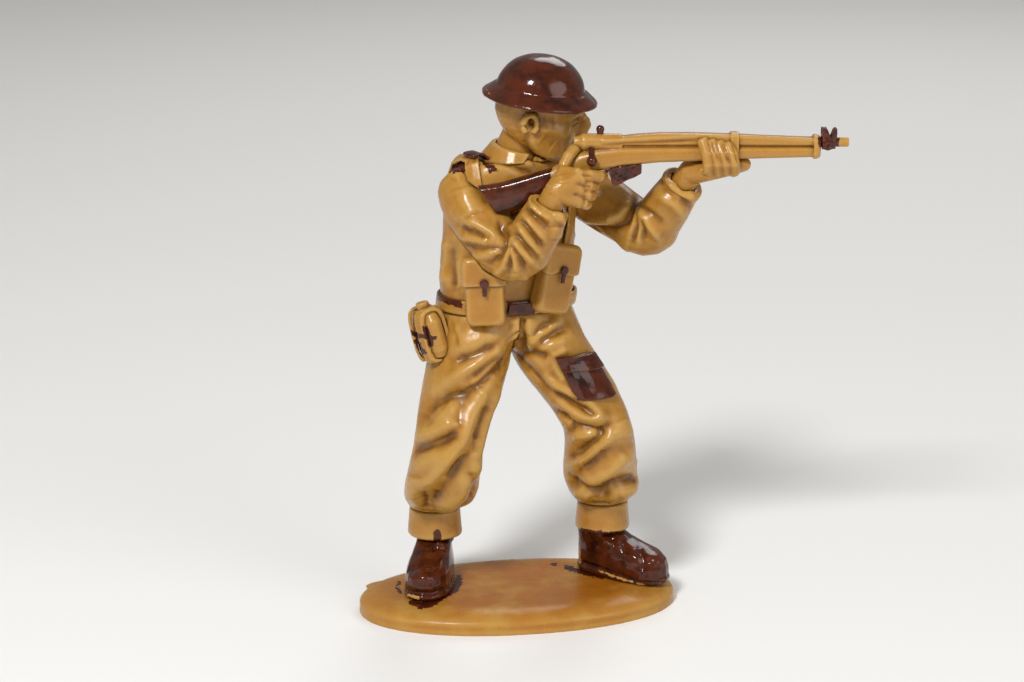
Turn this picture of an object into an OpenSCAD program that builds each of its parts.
// Standing rifleman, a moulded and painted toy figure in 1:32 scale, built as an assembly.
// Millimetres, +Z up. The origin is the centre of the base's underside and the rifle points along +X.
// Angles round a body part count from its front and turn towards its left side.

/* [Base] */
// Length of the oval base
base_l = 31; // [29:0.2:38]
// Width of the oval base
base_w = 17.2; // [16:0.1:18]
// Thickness of the base
base_t = 2; // [1.4:0.1:3]
// Rounding of the base's top edge
base_round = 0.7; // [0.3:0.1:1]
// Turn of the base's long axis from the rifle's line
base_angle = 10; // [0:1:20]
// Radius of the moulding gate's nub at the base's end
nub_r = 0.65; // [0.4:0.05:0.9]

/* [Boots] */
// Length of a boot's sole
boot_l = 10.1; // [9.4:0.1:10.4]
// Width of a sole across the ball of the foot
boot_w = 4.7; // [4.4:0.1:5]
// Height of the toe cap
toe_h = 2.85; // [2.4:0.05:3.2]
// Height of the boot up to the anklet
boot_h = 4.5; // [4:0.1:5]
// Thickness of the sole
sole_t = 0.6; // [0.4:0.05:0.9]
// Radius of the boot's shaft inside the anklet
shaft_r = 1.85; // [1.5:0.05:2]
// Radius of the peg under a boot
boot_peg_r = 0.7; // [0.5:0.05:0.9]
// Depth of that peg in the base
boot_peg_h = 1; // [0.6:0.05:1.2]
// Heading of the right boot
right_boot_angle = -8; // [-15:1:10]
// Heading of the left boot
left_boot_angle = 56; // [48:1:70]

/* [Anklets] */
// Height of an anklet
anklet_h = 2.8; // [2.4:0.1:3.4]
// Radius of an anklet at its top
anklet_r = 2.5; // [2.35:0.05:2.8]

/* [Trousers] */
// Height of the hip joints over the base
hip_h = 25; // [24:0.1:25.4]
// Distance between the hip joints
hip_w = 7.1; // [6.8:0.1:7.6]
// Length of the thigh, hip joint to knee
thigh_l = 10.6; // [10.2:0.1:12]
// Length of the shin, knee to ankle
shin_l = 12; // [11.8:0.1:13]
// Half width of a trouser leg at the knee
leg_r = 3.4; // [3:0.1:3.7]
// Turn of the hips towards the rifle's side
hip_angle = 16; // [5:1:25]
// Height of the waist over the hip joints
rise_h = 3.1; // [2.8:0.1:3.6]

/* [Blouse] */
// Height of the blouse, waist to neck
blouse_h = 14.3; // [13.8:0.1:15]
// Width of the waist
waist_w = 12.7; // [11.6:0.1:13]
// Depth of the waist, front to back
waist_d = 8.8; // [8.2:0.1:9.4]
// Width of the chest below the arms
chest_w = 13; // [12:0.1:13.4]
// Depth of the chest
chest_d = 9.2; // [8.6:0.1:9.8]
// Turn of the chest towards the rifle's side
chest_angle = 30; // [24:1:34]
// Radius of the neck opening
neck_r = 2.7; // [2.5:0.05:3]
// Radius of the neck's peg in the blouse
neck_peg_r = 1.6; // [1.3:0.05:1.9]
// Height of the collar
collar_h = 1.7; // [1.4:0.1:2.4]
// Thickness of the collar
collar_t = 0.45; // [0.4:0.05:0.8]

/* [Sleeves and hands] */
// Distance between the shoulder joints
shoulder_w = 12.2; // [11.6:0.1:12.8]
// Length of the upper arm, shoulder to elbow
upper_arm_l = 8.8; // [8.6:0.1:9.2]
// Length of the forearm, elbow to wrist
forearm_l = 7.1; // [7:0.1:7.6]
// Radius of a sleeve at the middle of the upper arm
sleeve_r = 2.4; // [2.25:0.05:2.5]
// Radius of a wrist
wrist_r = 1.2; // [1.1:0.05:1.3]
// Length of a wrist's peg in its cuff
wrist_peg_l = 1.6; // [1.2:0.1:2.2]
// Length of a palm
palm_l = 3.2; // [3:0.05:3.4]
// Thickness of a finger
finger_d = 1.1; // [0.9:0.05:1.2]

/* [Head] */
// Length of the head, front to back
head_l = 8; // [7.4:0.1:8.4]
// Width of the head
head_w = 6; // [5.4:0.1:6.4]
// Height from the chin to the helmet's seat
face_h = 5.9; // [5.4:0.1:6.4]
// Nod of the head towards the sights
nod_angle = 7; // [3:1:11]
// Lean of the head towards the stock
lean_angle = 4; // [2:1:8]
// Height of an ear
ear_h = 2.2; // [1.7:0.1:2.5]

/* [Helmet] */
// Diameter of the brim
brim_d = 10.9; // [10:0.1:11.6]
// Diameter of the crown at the brim
crown_d = 8.3; // [8.2:0.05:8.7]
// Height of the crown over the brim
crown_h = 3.7; // [3.6:0.1:4.4]
// Thickness of the brim
brim_t = 0.4; // [0.25:0.05:0.6]
// Fall of the brim from the crown to its edge
brim_fall = 0.45; // [0.2:0.05:0.7]
// Radius of the plug that locates the helmet
plug_r = 2.3; // [1.8:0.1:2.6]
// Height of that plug
plug_h = 1.8; // [1.2:0.1:2.2]

/* [Rifle] */
// Length from butt to muzzle
rifle_l = 33.9; // [33:0.1:35]
// Thickness of the wooden stock
stock_w = 1.8; // [1.6:0.05:2]
// Depth of the butt at its plate
butt_h = 3.3; // [3:0.1:3.6]
// Depth of stock and handguard together ahead of the magazine
fore_h = 2.8; // [2.5:0.1:3]
// Radius of the receiver
receiver_r = 0.8; // [0.7:0.02:0.86]
// Length of the receiver
receiver_l = 4.4; // [4:0.1:4.8]
// Radius of the barrel at the muzzle
barrel_r = 0.44; // [0.36:0.02:0.5]
// Radius of the bolt knob
knob_r = 0.5; // [0.4:0.02:0.56]
// Length of the magazine
magazine_l = 3.6; // [3.2:0.1:3.9]
// Depth of the magazine below the stock at its front
magazine_h = 1.2; // [0.9:0.05:1.4]
// Thickness of the band and the nose cap over the wood
band_t = 0.22; // [0.15:0.01:0.3]

/* [Webbing] */
// Height of the waist belt
belt_h = 1.35; // [1.2:0.05:1.6]
// Thickness of the belt and straps
web_t = 0.4; // [0.3:0.05:0.5]
// Width of a shoulder strap
strap_w = 1.4; // [1.2:0.1:1.8]
// Width of a pouch
pouch_w = 3.7; // [3.4:0.1:4]
// Height of a pouch
pouch_h = 6.4; // [6:0.1:6.8]
// Thickness of a pouch
pouch_t = 1.7; // [1.4:0.1:2]
// Width of the water bottle
bottle_w = 4.4; // [4:0.1:4.8]
// Height of the water bottle
bottle_h = 4.8; // [4.4:0.1:5.2]
// Thickness of the water bottle
bottle_t = 2.4; // [2.1:0.1:2.7]
// Length of the bayonet scabbard
scabbard_l = 7.5; // [6.8:0.1:8.2]
// Radius of the scabbard
scabbard_r = 0.5; // [0.4:0.02:0.6]

/* [Hidden] */

// Gap that keeps seated pieces apart
seat_gap = 0.05;
// How far a cutter runs past what it cuts
overrun = 1;
circle_fn = 48;
tan_plastic = [0.62, 0.42, 0.14];
brown_paint = [0.16, 0.04, 0.03];

// Where the feet, the hips, the chest and the neck stand over the base's centre
right_ankle_xy = [-8.4, 2.6, 0];
left_ankle_xy = [8.1, 4.6, 0];
hips_xy = [-1.2, 0.6, 0];
waist_xy = [-1.45, 0.8, 0];
chest_xy = [-1.15, 0.8, 0];
shoulders_xy = [0.1, 0.8, 0];
neck_xy = [-0.6, 0, 0];

hips = hips_xy + [0, 0, base_t + hip_h];
waist = waist_xy + [0, 0, hips.z + rise_h];
neck = neck_xy + [0, 0, waist.z + blouse_h];
boot_top = base_t + boot_h;
cuff_z = boot_top + anklet_h + 2 * seat_gap;

function unit(v) = v / norm(v);
function mix(a, b, t) = a + (b - a) * t;
function total(v) = [for (x = v) 1] * v;
function mean(points) = total(points) / len(points);
function facing(angle) = [sin(angle), -cos(angle), 0];
function across(angle) = [cos(angle), sin(angle), 0];
function around(angle, yaw) = across(yaw) * sin(angle) + facing(yaw) * cos(angle);
function bent(c, power) = sign(c) * pow(abs(c), power);
function ridge(distance, reach) = exp(-pow(distance / reach, 2));
function swing(angle) = (angle + 540) % 360 - 180;

// A smooth curve through evenly spaced values, read at a share of its length
function smooth(list, t) =
    let (n = len(list) - 1, s = min(max(t, 0), 1) * n, i = min(floor(s), n - 1), f = s - i,
        p = list[max(i - 1, 0)], a = list[i], b = list[i + 1], c = list[min(i + 2, n)])
    0.5 * (2 * a + (b - p) * f + (2 * p - 5 * a + 4 * b - c) * f * f + (3 * a - p - 3 * b + c) * f * f * f);

// A list read at a place between its items
function read(list, place) = let (i = min(floor(place), len(list) - 2)) mix(list[i], list[i + 1], place - i);

// The joint between two limbs of given lengths that reach from a to b, bent towards a pole
function bend(a, b, upper, lower, pole) =
    let (reach = min(norm(b - a), (upper + lower) * 0.999), line = unit(b - a),
        run = (upper * upper - lower * lower + reach * reach) / (2 * reach),
        rise = sqrt(max(0, upper * upper - run * run)))
    a + line * run + unit(pole - line * (pole * line)) * rise;

// Cloth folds: each row is its place along the limb, its angle, its slant, its reach in
// degrees, its width along the limb and its height, in shares except for the angles
function folds(rows, t, angle) = total([for (f = rows)
    let (d = swing(angle - f[1]))
    f[5] * ridge(t - f[0] - f[2] * d / 90, f[4]) * ridge(d, f[3])]);

// The way that a ring's points turn round, as a vector square to the ring
function ring_turn(ring) =
    total([for (i = [1:len(ring) - 2]) cross(ring[i] - ring[0], ring[i + 1] - ring[0])]);

// A closed skin over rings of equal count, with flat ends, whichever way the rings turn
module skin(loft) {
    m = len(loft);
    middle = floor(m / 2);
    forward = ring_turn(loft[middle]) * (mean(loft[middle]) - mean(loft[middle - 1]));
    rings = [for (k = [0:m - 1]) loft[forward > 0 ? k : m - 1 - k]];
    n = len(rings[0]);
    sides = [for (j = [0:m - 2], i = [0:n - 1])
        let (p = j * n + i, q = j * n + (i + 1) % n)
        each [[p, q + n, q], [p, p + n, q + n]]];
    ends = [[for (i = [0:n - 1]) i], [for (i = [n - 1:-1:0]) (m - 1) * n + i]];
    polyhedron([for (r = rings) each r], concat(sides, ends));
}

// A skin that runs round in a closed loop of sections
module loop_skin(sections) {
    n = len(sections[0]);
    m = len(sections);
    polyhedron([for (r = sections) each r], [for (j = [0:m - 1], i = [0:n - 1])
        let (here = j * n, next = ((j + 1) % m) * n, side = (i + 1) % n)
        each [[here + i, next + side, here + side], [here + i, next + i, next + side]]]);
}

// A tube through points, each with its own radius, its rings square to the path
module tube(points, radii, sides = 8) {
    last = len(points) - 1;
    normal = unit(cross(points[last] - points[0], [0.1, -1, 0.2]));
    skin([for (k = [0:last])
        let (d = unit(points[min(k + 1, last)] - points[max(k - 1, 0)]),
            u = unit(normal - d * (normal * d)), v = cross(d, u))
        [for (i = [0:sides - 1]) let (a = 360 * i / sides)
            points[k] + (u * cos(a) + v * sin(a)) * radii[k]]]);
}

// A cylinder between two points
module rod(a, b, r) {
    d = b - a;
    translate(a) rotate([0, acos(d.z / norm(d)), atan2(d.y, d.x)])
        cylinder(r = r, h = norm(d), $fn = circle_fn);
}

// A strip that lies on a form: centre line stations of [place, angle], with its side edges
// given as place and angle offsets, built from a function of place, angle and lift
module strip(stations, edge, ground, low, high) {
    skin([for (s = stations)
        [ground(s[0] - edge[0], s[1] - edge[1], low), ground(s[0] - edge[0], s[1] - edge[1], high),
            ground(s[0], s[1], high), ground(s[0] + edge[0], s[1] + edge[1], high),
            ground(s[0] + edge[0], s[1] + edge[1], low), ground(s[0], s[1], low)]]);
}

// Base

base_sides = 56;
base_power_share = 0.94;
base_xy = [-0.3, 0.5, 0];

function base_ring(inset, z) = [for (i = [0:base_sides - 1])
    let (a = 360 * i / base_sides)
    base_xy + across(base_angle) * (base_l / 2 - inset) * bent(sin(a), base_power_share)
        + facing(base_angle) * (base_w / 2 - inset) * bent(cos(a), base_power_share) + [0, 0, z]];

module base() {
    round_steps = 4;
    nub_angle = -125;
    color(tan_plastic) difference() {
        union() {
            linear_extrude(base_t - base_round) polygon([for (p = base_ring(0, 0)) [p.x, p.y]]);
            skin([for (k = [0:round_steps]) let (a = 90 * k / round_steps)
                base_ring(base_round * (1 - cos(a)), base_t - base_round * (1 - sin(a)))]);
            translate(base_ring(-nub_r / 3, base_t - base_round)[round(base_sides * (360 + nub_angle) / 360)])
                sphere(r = nub_r, $fn = circle_fn);
        }
        for (xy = [right_ankle_xy, left_ankle_xy])
            translate(xy + [0, 0, base_t - boot_peg_h - seat_gap])
                cylinder(r = boot_peg_r + seat_gap, h = boot_peg_h + overrun, $fn = circle_fn);
    }
}

// Boots: rows of height (1 the sole's top, 2 the toe cap's, 3 the shaft's), front end, half width
// and back end, as shares of the boot's sizes
boot_shares = [[0, 0.97, 0.94, 0.98], [0.5, 1, 1, 1], [1, 1, 1, 1], [1.06, 0.985, 0.95, 0.97],
    [1.4, 0.985, 0.96, 0.97], [1.75, 0.95, 0.92, 0.97], [2, 0.86, 0.86, 0.97],
    [2.25, 0.66, 0.8, 0.97], [2.55, 0.43, 0.76, 0.98], [3, 0.22, 0.72, 1]];
heel_share = 0.26;
boot_sides = 20;

module boot(ankle_xy, angle) {
    heel = boot_l * heel_share;
    rings = [for (row = boot_shares)
        let (z = base_t + read([0, sole_t, toe_h, boot_h], row[0]),
            front = (boot_l - heel) * row[1], back = heel * row[3],
            half = (front + back) / 2, middle = (front - back) / 2)
        [for (i = [0:boot_sides - 1])
            let (a = 360 * i / boot_sides, waist = 1 + 0.1 * cos(a) - 0.07 * ridge(cos(a) + 0.15, 0.3))
            ankle_xy + facing(angle) * (middle + half * bent(cos(a), 0.85))
                + across(angle) * boot_w / 2 * row[2] * waist * bent(sin(a), 0.85) + [0, 0, z]]];
    color(brown_paint) union() {
        skin(rings);
        translate(ankle_xy + [0, 0, base_t - boot_peg_h])
            cylinder(r = boot_peg_r, h = boot_peg_h + sole_t, $fn = circle_fn);
        translate(ankle_xy + [0, 0, boot_top - sole_t])
            cylinder(r = shaft_r, h = anklet_h + sole_t + seat_gap, $fn = circle_fn);
    }
}

// Anklets
anklet_flare_share = 1.07;

function anklet_radius(share) = anklet_r * mix(anklet_flare_share, 1, share);

module anklet(ankle_xy) {
    bore = shaft_r + seat_gap;
    edge = (anklet_r - shaft_r) / 4;
    color(tan_plastic) translate(ankle_xy + [0, 0, boot_top + seat_gap]) rotate_extrude($fn = circle_fn)
        polygon([[bore, 0], [anklet_radius(0) - edge, 0], [anklet_radius(0), edge],
            [anklet_radius(1), anklet_h - edge], [anklet_radius(1) - edge, anklet_h], [bore, anklet_h]]);
}

// Trousers: each leg runs from the waist to the cuff and meets the other on the seat's mid-plane
leg_sides = 22;
leg_steps = 20;
knee_poles = [[-0.12, -1, 0], [0.9, -0.8, 0]];
leg_width_shares = [1.12, 1.1, 0.98, 1.06, 0.79];
leg_depth_shares = [1.34, 1.16, 1.04, 1.08, 0.79];
right_leg_folds = [[0.29, 90, 0, 60, 0.09, 0.17], [0.32, 20, 0.07, 50, 0.03, -0.06],
    [0.55, -20, -0.05, 60, 0.022, -0.07], [0.6, 30, 0.06, 60, 0.03, 0.07],
    [0.66, -10, -0.06, 60, 0.022, -0.07], [0.74, 40, 0.07, 60, 0.03, -0.06],
    [0.89, 10, 0.03, 90, 0.045, 0.14], [0.95, -10, 0, 90, 0.022, -0.07],
    [0.56, 180, 0.02, 50, 0.03, -0.08]];
left_leg_folds = [[0.3, -90, 0, 60, 0.09, 0.2], [0.42, 90, 0, 70, 0.12, 0.13],
    [0.28, 0, -0.08, 50, 0.03, -0.06], [0.5, 10, -0.05, 60, 0.022, -0.07],
    [0.57, -20, 0.04, 60, 0.03, 0.06], [0.64, 0, 0.06, 60, 0.022, -0.07],
    [0.72, -30, -0.06, 60, 0.03, -0.05], [0.89, 10, -0.03, 100, 0.045, 0.18],
    [0.955, 10, 0, 90, 0.02, -0.07], [0.57, 180, 0.02, 50, 0.03, -0.08]];

function hip(side) = hips + across(hip_angle) * side * hip_w / 2;
function ankle(side) = (side < 0 ? right_ankle_xy : left_ankle_xy) + [0, 0, boot_top];
function knee(side) = bend(hip(side), ankle(side), thigh_l, shin_l, knee_poles[side < 0 ? 0 : 1]);
function cuff(side) = [ankle(side).x, ankle(side).y, cuff_z];
function leg_path(side) = [waist, hip(side), mix(hip(side), knee(side), 0.5), knee(side),
    mix(knee(side), ankle(side), 0.45), cuff(side)];
leg_widths = concat([waist_w / 2], leg_r * leg_width_shares);
leg_depths = concat([waist_d / 2], leg_r * leg_depth_shares);

function leg_point(side, t, angle, lift) =
    let (swell = lift + leg_r * folds(side < 0 ? right_leg_folds : left_leg_folds, t, angle),
        p = smooth(leg_path(side), t)
            + across(hip_angle) * (smooth(leg_widths, t) + swell) * bent(sin(angle), 0.95)
            + facing(hip_angle) * (smooth(leg_depths, t) + swell) * bent(cos(angle), 0.95),
        inner = side * ((p - hips) * across(hip_angle)) - seat_gap / 2 + lift)
    inner < 0 ? p - across(hip_angle) * side * inner : p;

module leg_form(side, lift = 0) {
    skin([for (k = [leg_steps:-1:0]) let (t = k / leg_steps) [for (i = [0:leg_sides - 1])
        let (p = leg_point(side, t, 360 * i / leg_sides, lift))
        [p.x, p.y, k == 0 ? waist.z : k == leg_steps ? cuff_z + seat_gap : p.z]]]);
}

module trouser_leg(side) {
    color(tan_plastic) leg_form(side);
}

// Map pocket on the left thigh: its corners as places along the leg and angles round it
pocket_top_share = 0.25;
pocket_foot_share = 0.43;
pocket_from_angle = -14;
pocket_to_angle = 48;
pocket_t = 0.5;
flap_share = 0.34;

function thigh_point(t, angle, lift) = leg_point(1, t, angle, lift);

module thigh_patch(top, foot, from_angle, to_angle, low, high) {
    steps = 6;
    skin([for (k = [0:steps])
        let (angle = mix(from_angle, to_angle, k / steps), edge = k == 0 || k == steps ? (high - low) / 3 : 0,
            places = [for (j = [0:4]) mix(foot, top, j / 4)])
        concat([for (t = places) thigh_point(t, angle, high - edge)],
            [for (j = [4:-1:0]) thigh_point(places[j], angle, low)])]);
}

module map_pocket() {
    color(brown_paint) thigh_patch(pocket_top_share, pocket_foot_share, pocket_from_angle, pocket_to_angle,
        seat_gap, pocket_t);
}

module map_pocket_flap() {
    color(brown_paint) thigh_patch(pocket_top_share, mix(pocket_top_share, pocket_foot_share, flap_share),
        pocket_from_angle, pocket_to_angle, pocket_t + seat_gap, pocket_t + web_t);
}

// Blouse
torso_sides = 28;
torso_steps = 16;
torso_height_shares = [0, 0.22, 0.48, 0.75, 0.985, 1];
torso_power_share = 0.9;
torso_folds = [[0.1, -60, 0.05, 40, 0.04, -0.04], [0.18, -100, -0.05, 50, 0.05, 0.04],
    [0.12, 100, 0.05, 50, 0.05, 0.04], [0.3, 180, 0, 60, 0.05, -0.03], [0.62, 180, 0, 12, 0.3, -0.04]];

torso_widths = [waist_w / 2, mix(waist_w, chest_w, 0.4) / 2, chest_w / 2, chest_w * 0.485,
    chest_w * 0.4, neck_r];
torso_depths = [waist_d / 2, mix(waist_d, chest_d, 0.4) / 2, chest_d / 2, chest_d * 0.48,
    chest_d * 0.4, neck_r];
torso_centres = [waist, mix(waist, chest_xy + [0, 0, waist.z], 0.5), chest_xy + [0, 0, waist.z],
    chest_xy + [0, 0, waist.z], mix(chest_xy, neck_xy, 0.5) + [0, 0, waist.z], neck_xy + [0, 0, waist.z]];

function torso_point(t, angle, lift) =
    let (yaw = mix(hip_angle, chest_angle, min(1, 2 * t)), c = smooth(torso_centres, t),
        swell = lift + chest_d / 2 * folds(torso_folds, t, angle))
    [c.x, c.y, waist.z + blouse_h * smooth(torso_height_shares, t)]
        + across(yaw) * (smooth(torso_widths, t) + swell) * bent(sin(angle), torso_power_share)
        + facing(yaw) * (smooth(torso_depths, t) + swell) * bent(cos(angle), torso_power_share);

module torso_form(lift = 0) {
    skin([for (k = [0:torso_steps]) [for (i = [0:torso_sides - 1])
        torso_point(k / torso_steps, 360 * i / torso_sides, lift)
            + [0, 0, k == 0 ? (lift > 0 ? -overrun : seat_gap) : k == torso_steps ? lift : 0]]]);
}

// Neck: its peg slants forward into the blouse
neck_slant = [1.6, -0.6, 3.6];
neck_root = neck - neck_slant * 0.45;
head_reach = [2.35, -1.1, 6.2];
head_seat = neck + head_reach;

module blouse() {
    color(tan_plastic) difference() {
        torso_form();
        rod(neck_root - unit(neck_slant) * seat_gap, neck + neck_slant * overrun, neck_peg_r + seat_gap);
    }
}

// Collar: a band that stands round the neck and falls over the shoulders, open at the throat
collar_gap_angle = 10;
collar_steps = 24;
collar_root_share = 0.975;
collar_fall_share = 0.962;
collar_front_drop_share = 0.45;
collar_point_share = 0.085;

module collar() {
    function rise(angle) = collar_h * (1 - collar_front_drop_share * ridge(swing(angle), 70));
    color(tan_plastic) difference() {
        skin([for (k = [0:collar_steps])
            let (angle = mix(collar_gap_angle, 360 - collar_gap_angle, k / collar_steps),
                place = collar_fall_share - collar_point_share * ridge(swing(angle), 32),
                yaw_dir = around(angle, chest_angle), inside = neck + yaw_dir * (neck_r - collar_t / 2),
                lip = inside + neck_slant * rise(angle) / neck_slant.z)
            [torso_point(collar_root_share, angle, seat_gap), torso_point(place, angle, seat_gap),
                torso_point(place, angle, collar_t), lip + yaw_dir * collar_t, lip,
                inside + [0, 0, seat_gap]]]);
        head_form(seat_gap);
    }
}

// Epaulettes run along the shoulders from the collar to the sleeve, over the shoulder straps
epaulette_from_share = collar_fall_share - 0.01;
epaulette_to_share = 0.82;
epaulette_steps = 6;
epaulette_angle = 86;
epaulette_w = 1.9;
strap_crest_share = 0.85;

function epaulette_point(t, angle, lift) =
    torso_point(t, angle, 0)
        + [0, 0, lift + min(1, 2.5 * ridge(t - strap_crest_share, 0.055)) * (web_t * 1.2 + seat_gap)];

module epaulette_form(side, swell = 0) {
    half_angle = epaulette_w / chest_w * 90;
    stations = [for (k = [0:epaulette_steps])
        [mix(epaulette_from_share, epaulette_to_share, k / epaulette_steps), side * epaulette_angle]];
    strip(stations, [0, side * (half_angle + swell * 90 / chest_w)],
        function (t, a, lift) epaulette_point(t, a, lift), swell > 0 ? -web_t : seat_gap, web_t + swell);
}

module epaulette(side) {
    color(side < 0 ? brown_paint : tan_plastic) epaulette_form(side);
}

// Sleeves: two straight runs joined by rings that fan out from the crook of the elbow
sleeve_sides = 20;
crook_r = 0.3;
shoulders = shoulders_xy + [0, 0, waist.z + blouse_h * 0.78];
rifle_reach = [head_l * 0.975, -chest_d * 0.565, face_h * 0.424];
right_wrist_reach = rifle_reach - palm_l * [1.44, 0.72, 1.69];
left_wrist_reach = rifle_reach + [rifle_l * 0.23, palm_l * 0.5, -palm_l * 1.28];
elbow_poles = [[0.3, -0.4, -1], [-0.32, 0.42, -1]];
elbow_reach_share = 1.12;
// Rows of place (0 shoulder, 1 to 2 the elbow's fan, 3 wrist) and radius as a share of sleeve_r
sleeve_rows_share = [[-0.5, 0.3], [-0.44, 0.62], [-0.32, 0.86], [-0.12, 0.99], [0.2, 1.08], [0.6, 1.07],
    [1, 1.03], [1.2, 1.02], [1.4, 1], [1.6, 1], [1.8, 1], [2, 0.96], [2.3, 0.93], [2.6, 0.88], [2.85, 0.82],
    [2.93, 0.86], [3, 0.83]];
sleeve_folds = [[0.35, 0, 0, 70, 0.3, 0.16], [1.3, 90, 0, 60, 0.06, -0.06],
    [1.3, -90, 0, 60, 0.06, -0.06], [1.55, 90, 0, 70, 0.07, -0.07], [1.55, -90, 0, 70, 0.07, -0.07],
    [1.8, 90, 0, 60, 0.06, -0.06], [0.75, -80, 0.3, 60, 0.12, -0.06], [2.35, -90, 0.3, 60, 0.1, -0.05]];

function shoulder(side) = shoulders + across(chest_angle) * side * shoulder_w / 2;
function wrist(side) = neck + (side < 0 ? right_wrist_reach : left_wrist_reach);
function elbow(side) =
    bend(shoulder(side), wrist(side), upper_arm_l, forearm_l, elbow_poles[side < 0 ? 0 : 1]);

function sleeve_ring(side, row, lift) =
    let (s = row[0], a = shoulder(side), e = elbow(side), w = wrist(side),
        du = unit(e - a), df = unit(w - e), axis = unit(cross(du, df)), inward = cross(axis, du),
        turn = acos(du * df), bore = sleeve_r + crook_r, inset = bore * tan(turn / 2),
        pivot = e - du * inset + inward * bore,
        phi = turn * min(max(s - 1, 0), 1), out = -inward * cos(phi) + du * sin(phi),
        r = sleeve_r * row[1], bulge = r * (elbow_reach_share - 1) * sin(180 * min(max(s - 1, 0), 1)),
        c = s < 1 ? mix(a, e - du * inset, s) : s > 2 ? mix(e + df * inset, w, s - 2)
            : pivot + out * (bore + bulge))
    [for (i = [0:sleeve_sides - 1])
        let (angle = 360 * i / sleeve_sides, swell = lift + sleeve_r * folds(sleeve_folds, s, angle),
            inside = s > 1 && s < 2 && cos(angle) < 0)
        c + out * cos(angle) * (r + bulge + (inside ? min(lift, crook_r / 2) : swell))
            + axis * sin(angle) * (r + swell)];

module sleeve_form(side, lift = 0) {
    skin([for (row = sleeve_rows_share) sleeve_ring(side, row, lift)]);
}

module sleeve(side) {
    w = wrist(side);
    along = unit(w - elbow(side));
    color(tan_plastic) difference() {
        sleeve_form(side);
        torso_form(seat_gap);
        epaulette_form(side, seat_gap);
        rod(w - along * (wrist_peg_l + seat_gap), w + along * overrun, wrist_r + seat_gap);
    }
}

// Rifle: x runs along the barrel from above the trigger, z is up from the bore
rifle = neck + rifle_reach;
muzzle_x = rifle_l * 0.67;
nose_x = rifle_l * 0.572;
// Rows of x, top, depth at the fore-end, depth at the butt, lean and width, as shares of rifle_l,
// fore_h, fore_h, butt_h, butt_h and stock_w
stock_shares = [[-0.33, -1.45, 0, 0.81, 0.56, 1], [-0.27, -1.34, 0, 0.82, 0.5, 1],
    [-0.2, -1.1, 0, 0.83, 0.25, 1], [-0.13, -0.84, 0, 0.86, 0.1, 1], [-0.09, -0.6, 0.92, 0, 0.05, 1],
    [-0.055, -0.34, 0.84, 0, 0, 1], [-0.01, -0.2, 0.76, 0, 0, 1], [0.06, -0.12, 0.66, 0, 0, 1],
    [0.16, -0.12, 0.54, 0, 0, 1], [0.3, -0.12, 0.47, 0, 0, 1], [0.45, -0.12, 0.4, 0, 0, 0.92],
    [0.572, -0.12, 0.36, 0, 0, 0.92]];
// Rows of place, from the receiver to the nose cap, and of top, as a share of fore_h
guard_shares = [[0, 0.21], [0.06, 0.26], [0.2, 0.32], [0.38, 0.32], [0.6, 0.27], [0.8, 0.21], [1, 0.17]];
receiver_front = receiver_l * 0.45;
stock_sides = 16;
guard_foot = seat_gap - fore_h * 0.12;

function wood_ring(x, top, bottom, lean, half, lift) = [for (i = [0:stock_sides - 1])
    let (a = 360 * i / stock_sides, v = (1 + bent(cos(a), 0.6)) / 2, height = top - bottom)
    rifle + [x + lean * (1 - v), bent(sin(a), 0.7) * (half + lift),
        mix(bottom - lift, top + lift, v)]];

module stock_form(lift = 0) {
    skin([for (row = stock_shares)
        wood_ring(row[0] * rifle_l, row[1] * fore_h, (row[1] - row[2]) * fore_h - row[3] * butt_h,
            row[4] * butt_h, row[5] * stock_w / 2, lift)]);
}

module guard_form(lift = 0) {
    skin([for (row = guard_shares)
        wood_ring(mix(receiver_front + seat_gap, nose_x, row[0]), row[1] * fore_h, guard_foot, 0,
            stock_w / 2 * 0.88, lift)]);
}

module rifle_stock() {
    color(tan_plastic) difference() {
        stock_form();
        rod(rifle + [-receiver_l, 0, 0], rifle + [receiver_front + seat_gap, 0, 0], receiver_r + seat_gap);
        sleeve_form(-1, seat_gap);
    }
}

module handguard() {
    color(tan_plastic) guard_form();
}

module receiver() {
    color(tan_plastic) translate(rifle + [-receiver_l * 0.55, 0, 0]) rotate([0, 90, 0])
        rotate_extrude($fn = circle_fn) polygon([[0, 0], [receiver_r * 0.6, 0],
            [receiver_r * 0.75, receiver_l * 0.12], [receiver_r, receiver_l * 0.2], [receiver_r, receiver_l],
            [0, receiver_l]]);
}

module bolt_handle() {
    root = rifle + [-receiver_l * 0.2, -receiver_r - seat_gap, 0];
    knob = root + [0.16, -0.9, -2.3] * knob_r * 1.3;
    color(brown_paint) difference() {
        union() {
            rod(root + [0, receiver_r, receiver_r / 4], knob, knob_r * 0.5);
            translate(knob) sphere(r = knob_r, $fn = circle_fn);
        }
        rod(rifle + [-receiver_l, 0, 0], rifle + [receiver_l, 0, 0], receiver_r + seat_gap);
        stock_form(seat_gap);
    }
}

module rear_sight() {
    sight_r = knob_r * 0.85;
    color(brown_paint) translate(rifle + [0, 0, receiver_r + seat_gap]) {
        cylinder(r = sight_r * 0.7, h = sight_r * 0.7, $fn = circle_fn);
        translate([0, 0, sight_r * 0.8]) sphere(r = sight_r * 0.9, $fn = circle_fn);
    }
}

module wood_band(x, length) {
    color(tan_plastic) difference() {
        skin([for (k = [0:1]) wood_ring(x + length * k, fore_h * 0.27 + band_t, -fore_h * 0.6 - band_t, 0,
            stock_w / 2 + band_t, 0)]);
        stock_form(seat_gap);
        guard_form(seat_gap);
    }
}

module middle_band() {
    wood_band(rifle_l * 0.35, rifle_l * 0.022);
}

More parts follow.
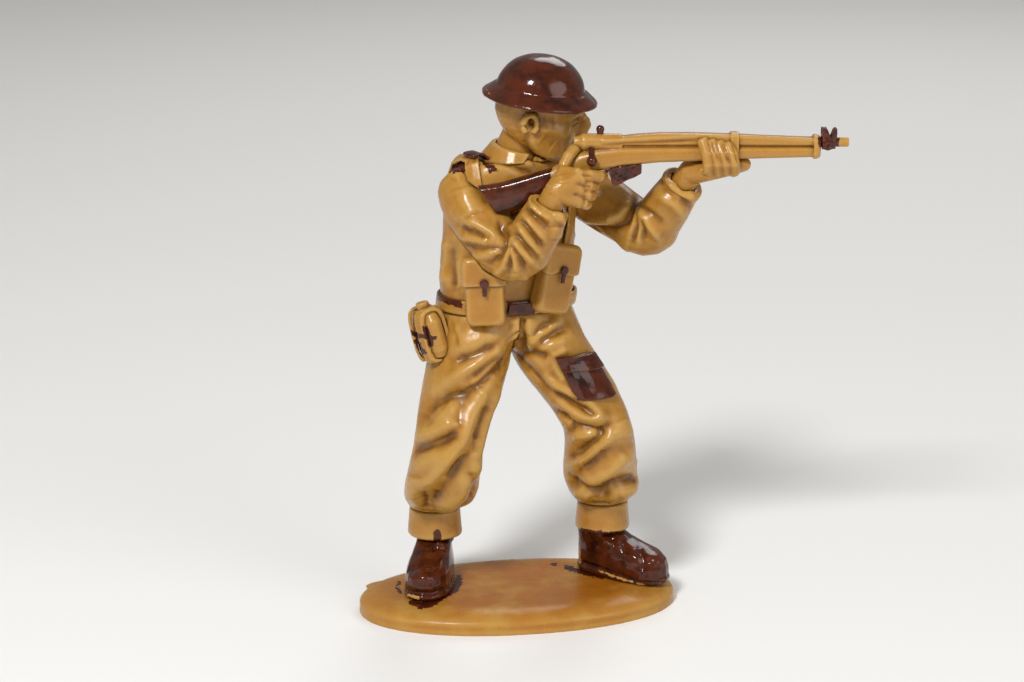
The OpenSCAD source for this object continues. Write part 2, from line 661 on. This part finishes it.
module nose_cap() {
    color(tan_plastic) skin([for (k = [0:2])
        wood_ring(nose_x + seat_gap + band_t * 1.5 * k, fore_h * 0.18 + band_t * [1, 1, 0.2][k],
            -fore_h * 0.47 - band_t * [1, 1, 0.2][k], 0, stock_w / 2 * 0.92 + band_t * [1, 1, 0.2][k], 0)]);
}

module muzzle() {
    start = nose_x + band_t * 3 + 2 * seat_gap;
    color(tan_plastic) translate(rifle + [start, 0, 0]) rotate([0, 90, 0]) difference() {
        cylinder(r = barrel_r, h = muzzle_x - start, $fn = circle_fn);
        translate([0, 0, barrel_r * 2]) cylinder(r = barrel_r * 0.45, h = rifle_l, $fn = circle_fn);
    }
}

module front_sight() {
    ear_l = barrel_r * 3;
    x = nose_x + band_t * 3 + 3 * seat_gap;
    color(brown_paint) difference() {
        translate(rifle + [x, -barrel_r * 1.3, -barrel_r * 1.4])
            cube([ear_l, barrel_r * 2.6, barrel_r * 3.9]);
        translate(rifle + [x - overrun, -barrel_r * 0.5, barrel_r * 1.4])
            cube([ear_l + 2 * overrun, barrel_r, barrel_r * 4]);
        rod(rifle, rifle + [rifle_l, 0, 0], barrel_r + seat_gap);
    }
}

// Corners of the magazine's side: x, the stock's depth there and the depth below the stock, as
// shares of magazine_l, fore_h and magazine_h
magazine_shares = [[0.15, 0.5, 0], [0.32, 0.72, 1.58], [0.4, 0.74, 1.58], [1.06, 0.6, 0.95], [1.06, 0.45, 0]];

module magazine() {
    mag_w = stock_w * 0.8;
    corner = mag_w / 6;
    color(brown_paint) difference() {
        translate(rifle + [0, mag_w / 2, 0]) rotate([90, 0, 0])
            linear_extrude(mag_w) offset(r = corner, $fn = 16) offset(delta = -corner)
                polygon([for (p = magazine_shares) [p.x * magazine_l, -p.y * fore_h - p.z * magazine_h]]);
        stock_form(seat_gap);
    }
}

module trigger_guard() {
    drop = fore_h * 0.42;
    top = rifle + [-magazine_l * 0.6, 0, -fore_h * 0.96];
    run = magazine_l * 0.8;
    steps = 8;
    path = [for (k = [0:steps]) let (t = k / steps)
        top + [run * t, 0, -drop * pow(sin(180 * t), 0.6) + fore_h * 0.06 * t]];
    color(tan_plastic) difference() {
        tube(path, [for (p = path) stock_w / 9], 6);
        stock_form(seat_gap);
    }
}

// Hands: points are shares of palm_l from the wrist, in the rifle's directions
right_palm_shares = [[0.86, -0.02, 0.84], [0.78, -0.06, 0.14], [0.4, 0.16, 0.92], [0.5, 0.05, 0.2]];
right_finger_shares = [[[0.8, 0, 0.84], [1.14, 0.03, 0.86], [1.42, 0.26, 0.78], [1.5, 0.56, 0.72]],
    [[0.82, -0.02, 0.58], [1.12, 0.04, 0.56], [1.26, 0.3, 0.5], [1.2, 0.62, 0.48], [0.98, 0.82, 0.5]],
    [[0.8, -0.04, 0.34], [1.06, 0.02, 0.3], [1.19, 0.27, 0.23], [1.12, 0.56, 0.22], [0.9, 0.76, 0.26]],
    [[0.74, -0.03, 0.12], [0.96, 0.01, 0.06], [1.06, 0.22, -0.01], [1, 0.5, 0], [0.8, 0.68, 0.06]],
    [[0.35, 0.25, 0.88], [0.42, 0.3, 1.12], [0.54, 0.42, 1.34], [0.71, 0.65, 1.5], [0.85, 0.93, 1.44]]];
left_palm_shares = [[0.5, -0.3, 0.35], [1.7, -0.34, 0.6], [0.7, -0.68, 0.4], [1.3, -0.66, 0.54]];
left_finger_shares = [for (k = [0:3])
    let (x = 0.56 + 0.24 * k)
    [[x + 0.1, -0.5, 0.42], [x + 0.12, -0.8, 0.5], [x + 0.08, -0.96, 0.75], [x + 0.02, -0.96, 1.02],
        [x - 0.06, -0.84, 1.28 - 0.04 * k]]];
left_thumb_shares = [[0.58, -0.24, 0.45], [0.8, -0.14, 0.66], [1, -0.08, 0.86], [1.38, -0.1, 1.09]];
tip_shares = [1, 0.98, 0.87, 0.55];

// A finger: a tube of even thickness with a rounded tip
module finger(start, shares, r) {
    last = len(shares) - 1;
    way = unit(shares[last] - shares[last - 1]);
    joints = [for (p = shares) start + p * palm_l];
    path = concat([for (k = [0:last - 1]) joints[k]],
        [for (k = [0:3]) joints[last] + way * r * sin(30 * k)]);
    tube(path, [for (k = [0:len(path) - 1]) r * (k < last ? 1 : tip_shares[k - last])], 10);
}

module hand(side, palm, fingers) {
    w = wrist(side);
    along = unit(w - elbow(side));
    color(tan_plastic) difference() {
        union() {
            rod(w - along * wrist_peg_l, w + along * wrist_r, wrist_r);
            hull() {
                translate(w + along * wrist_r * 1.2) sphere(r = wrist_r, $fn = 16);
                for (share = palm) translate(w + share * palm_l) sphere(r = finger_d * 0.6, $fn = 16);
            }
            for (shares = fingers) finger(w, shares, finger_d / 2);
        }
        stock_form(seat_gap);
        guard_form(seat_gap);
        if (side < 0) head_form(seat_gap);
    }
}

module right_hand() {
    hand(-1, right_palm_shares, right_finger_shares);
}

module left_hand() {
    hand(1, left_palm_shares, concat(left_finger_shares, [left_thumb_shares]));
}

// Head: rows of height, middle, half length and half width, as shares of face_h, head_l, head_l and head_w
head_sides = 28;
head_shares = [[-1, 0.3, 0.1, 0.12], [-0.97, 0.24, 0.2, 0.26], [-0.88, 0.16, 0.3, 0.36],
    [-0.76, 0.1, 0.37, 0.42], [-0.64, 0.06, 0.42, 0.46], [-0.52, 0.03, 0.46, 0.48],
    [-0.4, 0.01, 0.485, 0.495], [-0.3, 0, 0.5, 0.5], [-0.2, 0, 0.5, 0.5], [-0.1, 0, 0.5, 0.5],
    [0, 0, 0.49, 0.49]];

// Nose, brow, lips, chin, cheeks and eye sockets: height, angle, reach, width and height over the skull
face_shares = [[-0.44, 0, 9, 0.07, 0.1], [-0.32, 0, 8, 0.08, 0.06], [-0.17, 0, 34, 0.05, 0.025],
    [-0.7, 0, 20, 0.05, 0.03], [-0.88, 0, 24, 0.07, 0.03], [-0.5, 46, 20, 0.13, 0.015],
    [-0.5, -46, 20, 0.13, 0.015], [-0.27, 24, 9, 0.05, -0.03], [-0.27, -24, 9, 0.05, -0.03]];

function head_point(row, angle, lift) =
    let (face = head_l * total([for (f = face_shares)
            f[4] * ridge(row[0] - f[0], f[3]) * ridge(swing(angle - f[1]), f[2])]))
    [row[1] * head_l + cos(angle) * (row[2] * head_l + lift + face),
        sin(angle) * (row[3] * head_w + lift + face), row[0] * face_h - (row[0] == -1 ? lift : 0)];

module in_head_frame() {
    translate(head_seat) rotate([lean_angle, nod_angle, 0]) children();
}

module head_form(lift = 0) {
    in_head_frame() skin([for (row = head_shares)
        [for (i = [0:head_sides - 1]) head_point(row, 360 * i / head_sides, lift)]]);
}

module neck_form(lift = 0) {
    rod(neck, neck + neck_slant, neck_r * 0.8 + lift);
}

module ear(side) {
    row = head_shares[7];
    spot = head_point(row, side * 100, 0) + [0, side * finger_d * 0.05, -ear_h * 0.2];
    path = [for (a = [-60:32:230])
        spot + [-cos(a) * ear_h * 0.3, side * finger_d * 0.16, sin(a) * ear_h * 0.42]];
    tube(path, [for (p = path) finger_d * 0.26], 8);
}

module head() {
    color(tan_plastic) union() {
        head_form();
        in_head_frame() cylinder(r = plug_r, h = plug_h, $fn = circle_fn);
        rod(neck_root, neck + neck_slant * 0.5, neck_peg_r);
        neck_form();
        in_head_frame() ear(-1);
        in_head_frame() ear(1);
    }
}

// Helmet: a shallow bowl with a narrow falling brim
dome_steps = 12;
dome_power_share = 0.82;

module helmet() {
    crown = crown_d / 2;
    brim = brim_d / 2;
    color(brown_paint) in_head_frame() rotate_extrude($fn = circle_fn * 2) polygon(concat(
        [[0, plug_h + 2 * seat_gap], [plug_r + seat_gap, plug_h + 2 * seat_gap],
            [plug_r + seat_gap, seat_gap], [crown - brim_t, seat_gap], [brim - brim_t / 2, -brim_fall],
            [brim, -brim_fall + brim_t * 0.4],
            [brim - brim_t / 3, -brim_fall + brim_t], [crown + brim_t * 0.6, brim_t * 1.6]],
        [for (k = [1:dome_steps]) let (a = 90 * k / dome_steps)
            [crown * pow(cos(a), dome_power_share), brim_t + (crown_h - brim_t) * pow(sin(a), 1.1)]]));
}

// Webbing
buckle_w = 2;
buckle_t = 0.35;

function belt_place(share) = share * belt_h / blouse_h;

module waist_belt() {
    color(brown_paint) loop_skin([for (i = [0:torso_sides * 2 - 1])
        let (a = 360 * i / torso_sides / 2)
        [torso_point(belt_place(0.1), a, seat_gap), torso_point(belt_place(1.1), a, seat_gap),
            torso_point(belt_place(1.1), a, web_t * 0.8), torso_point(belt_place(0.9), a, web_t),
            torso_point(belt_place(0.3), a, web_t), torso_point(belt_place(0.1), a, web_t * 0.8)]]);
}

module belt_buckle() {
    half_angle = buckle_w / waist_w * 57;
    stations = [for (k = [0:4]) [belt_place(0.6), mix(-half_angle, half_angle, k / 4)]];
    color(brown_paint) strip(stations, [-belt_place(0.42), 0],
        function (t, a, lift) torso_point(t, a, lift), web_t + seat_gap, web_t + buckle_t);
}

// Shoulder straps: stations of place up the blouse and angle, from the belt in front to the belt behind
strap_front_angle = 34;
strap_back_angle = 212;
strap_stations_shares = [[0.13, 0], [0.3, 0.01], [0.45, 0.04], [0.6, 0.09], [0.72, 0.14], [0.8, 0.2],
    [strap_crest_share, 0.28], [strap_crest_share, 0.36], [0.8, 0.46], [0.7, 0.56], [0.56, 0.68],
    [0.4, 0.8], [0.25, 0.91], [0.13, 1]];

module shoulder_strap(side) {
    last = len(strap_stations_shares) - 1;
    function spot(k) = let (s = strap_stations_shares[k])
        [s[0], side * mix(strap_front_angle, strap_back_angle, s[1])];
    skin([for (k = [0:last])
        let (here = spot(k), a = spot(max(k - 1, 0)), b = spot(min(k + 1, last)),
            ahead = torso_point(b[0], b[1], web_t) - torso_point(a[0], a[1], web_t),
            c = torso_point(here[0], here[1], 0),
            up = unit(cross(torso_point(here[0], here[1] + 4, 0) - torso_point(here[0], here[1] - 4, 0),
                torso_point(here[0] + 0.03, here[1], 0) - torso_point(here[0] - 0.03, here[1], 0))),
            sideways = unit(cross(up, ahead)) * strap_w / 2)
        [c - sideways + up * seat_gap * 3, c + sideways + up * seat_gap * 3, c + sideways + up * web_t,
            c + up * web_t * 1.2, c - sideways + up * web_t]]);
}

module shoulder_straps() {
    color(tan_plastic) difference() {
        union() {
            shoulder_strap(-1);
            shoulder_strap(1);
        }
        torso_form(seat_gap);
        sleeve_form(-1, seat_gap);
        sleeve_form(1, seat_gap);
    }
}

// Pouches hang on the belt in front, each in the plane that touches the blouse there
pouch_places_share = [[0.17, -32], [0.21, 21]];
flap_t = web_t * 0.7;
pouch_lean_angles = [2, -12];
pouch_corner = 0.7;
flap_low_share = 0.12;

module in_pouch_frame(which) {
    place = pouch_places_share[which];
    spot = torso_point(place[0], place[1], 0);
    right_way = unit(torso_point(place[0], place[1] + 6, 0) - torso_point(place[0], place[1] - 6, 0));
    outward = [right_way.y, -right_way.x, 0];
    up = [0, 0, 1];
    multmatrix([[right_way.x, up.x, outward.x, spot.x], [right_way.y, up.y, outward.y, spot.y],
        [right_way.z, up.z, outward.z, spot.z], [0, 0, 0, 1]])
        rotate([0, 0, pouch_lean_angles[which]]) children();
}

function pouch_ring(w, h, z) = [for (k = [0:3], i = [0:3])
    let (a = 90 * k + 30 * i, x = [1, -1, -1, 1][k] * (w / 2 - pouch_corner),
        y = [1, 1, -1, -1][k] * (h / 2 - pouch_corner))
    [x + pouch_corner * cos(a), y + pouch_corner * sin(a), z]];

// Rows of width, height and depth, as shares of a pouch's sizes
pouch_shares = [[1, 1, -1], [1, 1, 0.7], [0.94, 0.96, 0.9], [0.84, 0.9, 1]];

module pouch_form(lift = 0) {
    skin([for (row = pouch_shares) pouch_ring(pouch_w * row[0] + 2 * lift, pouch_h * row[1] + 2 * lift,
        pouch_t * row[2] + (row[2] > 0 ? lift : 0))]);
}

module pouch(which) {
    color(tan_plastic) difference() {
        in_pouch_frame(which) pouch_form();
        torso_form(web_t + seat_gap);
        sleeve_form(which == 0 ? -1 : 1, seat_gap);
    }
}

module pouch_flap(which) {
    color(tan_plastic) difference() {
        in_pouch_frame(which) difference() {
            pouch_form(flap_t);
            pouch_form(seat_gap);
            translate([-pouch_w, -pouch_h, -2 * pouch_t])
                cube([2 * pouch_w, pouch_h * (1 + flap_low_share), 4 * pouch_t]);
            translate([-pouch_w, -pouch_h, -2 * pouch_t])
                cube([2 * pouch_w, 2 * pouch_h, 2 * pouch_t + 2 * web_t]);
        }
        sleeve_form(which == 0 ? -1 : 1, seat_gap);
    }
}

module pouch_studs() {
    stud_r = pouch_w * 0.11;
    color(brown_paint) difference() {
        for (which = [0, 1]) in_pouch_frame(which)
            translate([0, pouch_h * 0.17, pouch_t + flap_t + seat_gap]) {
                cylinder(r = stud_r, h = stud_r * 0.6, $fn = circle_fn);
                translate([-stud_r / 2, -stud_r * 3, 0]) cube([stud_r, stud_r * 2, stud_r * 0.5]);
            }
        sleeve_form(-1, seat_gap);
        sleeve_form(1, seat_gap);
    }
}

// Water bottle at the right hip, in the plane that touches the hip there
bottle_angle = -80;
bottle_place_share = 0.1;

module in_bottle_frame() {
    spot = leg_point(-1, bottle_place_share, bottle_angle, 0);
    outward = around(bottle_angle, hip_angle);
    right_way = [-outward.y, outward.x, 0];
    multmatrix([[right_way.x, 0, outward.x, spot.x], [right_way.y, 0, outward.y, spot.y],
        [0, 1, 0, spot.z - bottle_h * 0.1], [0, 0, 0, 1]]) rotate([12, 0, 8]) children();
}

bottle_shares = [[-0.5, 0.62, 0.7], [-0.44, 0.86, 0.88], [-0.3, 1, 1], [0, 1, 1], [0.28, 0.96, 0.98],
    [0.42, 0.8, 0.86], [0.5, 0.5, 0.6]];

module bottle_form(lift = 0) {
    sides = 20;
    skin([for (row = bottle_shares) [for (i = [0:sides - 1])
        let (a = 360 * i / sides)
        [sin(a) * (bottle_w / 2 * row[1] + lift), row[0] * (bottle_h + lift),
            bottle_t * 0.5 + cos(a) * (bottle_t / 2 * row[2] + lift)]]]);
}

module water_bottle() {
    color(tan_plastic) difference() {
        in_bottle_frame() bottle_form();
        leg_form(-1, seat_gap);
        torso_form(web_t + seat_gap);
    }
}

module bottle_cap() {
    cap_r = bottle_t * 0.26;
    color(tan_plastic) difference() {
        in_bottle_frame() translate([0, bottle_h * 0.5 + seat_gap, bottle_t / 2]) rotate([-90, 0, 0])
            cylinder(r = cap_r, h = cap_r, $fn = circle_fn);
        torso_form(web_t + seat_gap);
    }
}

module bottle_straps() {
    color(brown_paint) difference() {
        in_bottle_frame() for (x = [-0.25, 0.25]) intersection() {
            bottle_form(web_t);
            translate([x * bottle_w - strap_w / 3, -bottle_h, -bottle_t])
                cube([strap_w * 2 / 3, bottle_h * 2, bottle_t * 3]);
        }
        in_bottle_frame() bottle_form(seat_gap);
        leg_form(-1, seat_gap);
        torso_form(web_t + seat_gap);
    }
}

// Bayonet at the left hip, behind: a scabbard that hangs from the belt in its frog
bayonet_angle = 146;
grip_r = 0.45;
grip_l = 3;

function bayonet_top() = leg_point(1, 0.03, bayonet_angle, scabbard_r + web_t + seat_gap);
function bayonet_foot() =
    let (top = bayonet_top())
    top + unit(leg_point(1, 0.3, bayonet_angle + 8, scabbard_r * 2) - top) * scabbard_l;

module bayonet_scabbard() {
    top = bayonet_top();
    foot = bayonet_foot();
    color(tan_plastic) difference() {
        tube([top, mix(top, foot, 0.08), mix(top, foot, 0.85), foot],
            [scabbard_r, scabbard_r * 1.1, scabbard_r * 0.8, scabbard_r * 0.5], 12);
        leg_form(1, seat_gap);
    }
}

module bayonet_grip() {
    top = bayonet_top();
    way = unit(top - bayonet_foot());
    color(tan_plastic) difference() {
        tube([for (s = [0.02, 0.2, 0.5, 0.8, 1]) top + way * grip_l * s],
            grip_r * [0.9, 0.75, 0.9, 0.8, 1], 10);
        torso_form(web_t + seat_gap);
        leg_form(1, seat_gap);
    }
}

module scabbard_frog() {
    top = bayonet_top();
    way = unit(bayonet_foot() - top);
    color(tan_plastic) difference() {
        tube([for (s = [0.04, 0.1, 0.24, 0.3]) top + way * scabbard_l * s],
            (scabbard_r + web_t) * [0.95, 1.05, 1.05, 0.95], 12);
        tube([top - way, top + way * scabbard_l * 0.5], [1, 1] * (scabbard_r * 1.1 + seat_gap), 12);
        leg_form(1, seat_gap);
    }
}

base();
boot(right_ankle_xy, right_boot_angle);  // right_boot
boot(left_ankle_xy, left_boot_angle);  // left_boot
anklet(right_ankle_xy);  // right_anklet
anklet(left_ankle_xy);  // left_anklet
trouser_leg(-1);  // right_trouser_leg
trouser_leg(1);  // left_trouser_leg
map_pocket();
map_pocket_flap();
blouse();
collar();
epaulette(-1);  // right_epaulette
epaulette(1);  // left_epaulette
sleeve(-1);  // right_sleeve
sleeve(1);  // left_sleeve
right_hand();
left_hand();
head();
helmet();
rifle_stock();
handguard();
middle_band();
nose_cap();
muzzle();
receiver();
bolt_handle();
rear_sight();
front_sight();
magazine();
trigger_guard();
waist_belt();
belt_buckle();
shoulder_straps();
pouch(0);  // right_pouch
pouch(1);  // left_pouch
pouch_flap(0);  // right_pouch_flap
pouch_flap(1);  // left_pouch_flap
pouch_studs();
water_bottle();
bottle_cap();
bottle_straps();
bayonet_scabbard();
bayonet_grip();
scabbard_frog();
